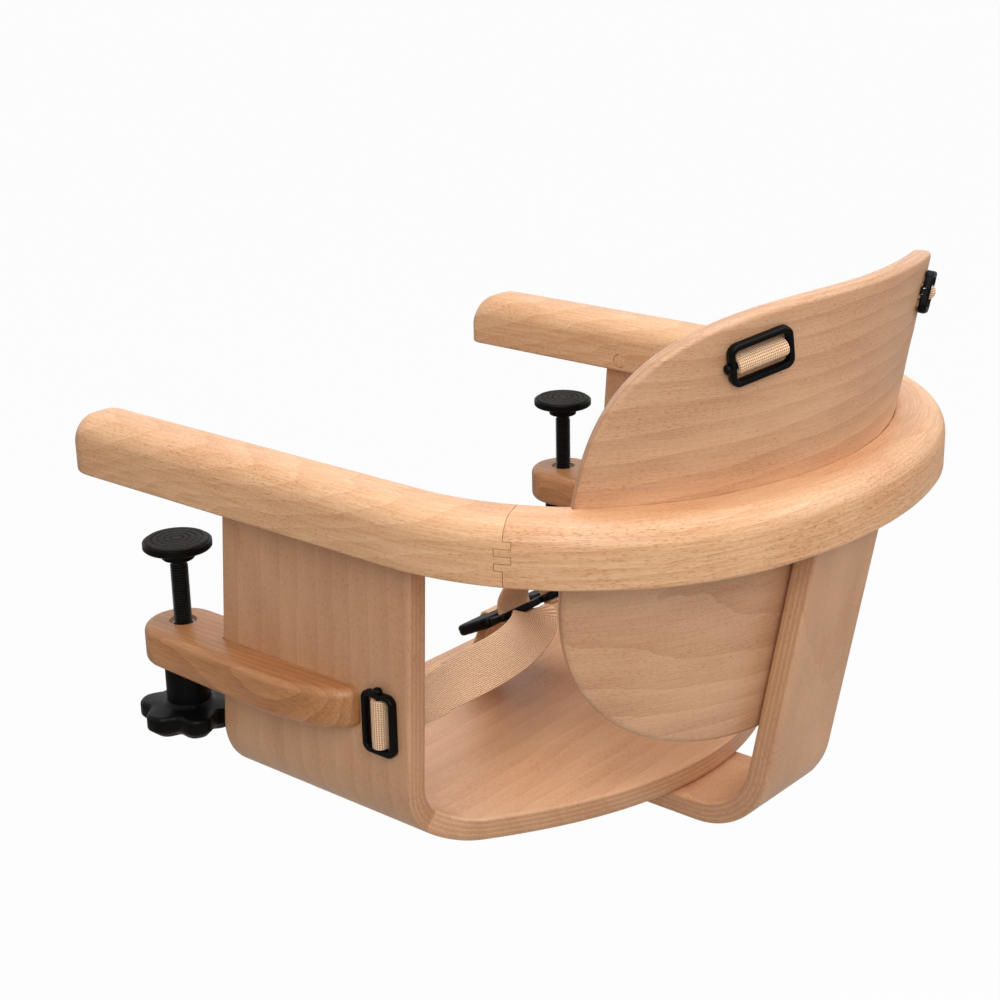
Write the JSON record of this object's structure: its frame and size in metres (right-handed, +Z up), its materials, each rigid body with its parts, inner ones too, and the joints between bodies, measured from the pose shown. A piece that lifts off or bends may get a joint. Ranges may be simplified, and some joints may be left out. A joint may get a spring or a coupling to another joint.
{
  "type": "hook-on table chair",
  "caption": "Clamp-on child seat for a table edge: bentwood rail with a bow, moulded plywood seat and backrest, screw clamps under two arms and a webbing harness.",
  "frame": {"origin": "on the table's rear top edge, midway between the arms, at the level of the arms' undersides", "axes": "+X towards the seated child's left, +Y away from the table towards the bow, +Z up"},
  "size_m": [0.394, 0.4043, 0.3057],
  "materials": {
    "beech": "steam-bent and turned solid beech, clear matt lacquer",
    "plywood": "beech-faced moulded plywood, clear matt lacquer, bare edges showing the plies",
    "black_plastic": "moulded black nylon, semi-matt",
    "black_steel": "black-oxide steel screw thread",
    "zinc_steel": "zinc-plated steel",
    "rubber": "matt black rubber",
    "webbing": "woven cotton webbing, undyed beige"
  },
  "bodies": {
    "chair": {"back_bow": "beech", "arm_left": "beech", "arm_right": "beech", "clamp_bar_left": "beech", "clamp_bar_right": "beech", "arm_plug_front_left": "beech", "arm_plug_front_right": "beech", "arm_plug_rear_left": "beech", "arm_plug_rear_right": "beech", "seat_shell": "plywood", "rear_strap": "plywood", "backrest": "plywood", "buckle_housing": "black_plastic", "buckle_tongue_left": "black_plastic", "buckle_tongue_right": "black_plastic", "side_retainer_left_ring": "black_plastic", "side_retainer_left_pin": "black_plastic", "side_retainer_right_ring": "black_plastic", "side_retainer_right_pin": "black_plastic", "back_retainer_left_ring": "black_plastic", "back_retainer_left_pin": "black_plastic", "back_retainer_right_ring": "black_plastic", "back_retainer_right_pin": "black_plastic", "crotch_retainer_ring": "black_plastic", "crotch_retainer_pin": "black_plastic", "threaded_insert_left": "zinc_steel", "threaded_insert_right": "zinc_steel", "arm_screw_front_left": "zinc_steel", "arm_screw_front_right": "zinc_steel", "arm_screw_rear_left": "zinc_steel", "arm_screw_rear_right": "zinc_steel", "bar_screw_front_left": "zinc_steel", "bar_screw_front_right": "zinc_steel", "bar_screw_rear_left": "zinc_steel", "bar_screw_rear_right": "zinc_steel", "strap_screw_1": "zinc_steel", "strap_screw_2": "zinc_steel", "strap_screw_3": "zinc_steel", "strap_screw_4": "zinc_steel", "back_screw_upper": "zinc_steel", "back_screw_lower": "zinc_steel", "bow_screw_left": "zinc_steel", "bow_screw_right": "zinc_steel", "harness_strap_left": "webbing", "harness_strap_right": "webbing", "crotch_strap": "webbing"},
    "foot_left": {"clamp_foot_left": "black_plastic", "foot_pad_left": "rubber"},
    "screw_left": {"clamp_screw_left": "black_steel", "clamp_knob_left": "black_plastic"},
    "foot_right": {"clamp_foot_right": "black_plastic", "foot_pad_right": "rubber"},
    "screw_right": {"clamp_screw_right": "black_steel", "clamp_knob_right": "black_plastic"}
  },
  "joints": [
    {"name": "foot_travel_left", "type": "slide", "parent": "chair", "child": "foot_left", "axis": [0, 0, 1], "range_m": [-0.034, 0.003]},
    {"name": "knob_turn_left", "type": "hinge", "parent": "foot_left", "child": "screw_left", "pos_m": [0.1685, -0.0423, -0.09], "axis": [0, 0, 1], "range_deg": [-8165, 725]},
    {"name": "foot_travel_right", "type": "slide", "parent": "chair", "child": "foot_right", "axis": [0, 0, 1], "range_m": [-0.034, 0.003]},
    {"name": "knob_turn_right", "type": "hinge", "parent": "foot_right", "child": "screw_right", "pos_m": [-0.1685, -0.0423, -0.09], "axis": [0, 0, 1], "range_deg": [-8165, 725]}
  ],
  "couplings": [
    {"joint": "knob_turn_left", "follows": "foot_travel_left", "rad_per_m": 4188.8},
    {"joint": "knob_turn_right", "follows": "foot_travel_right", "rad_per_m": 4188.8}
  ]
}
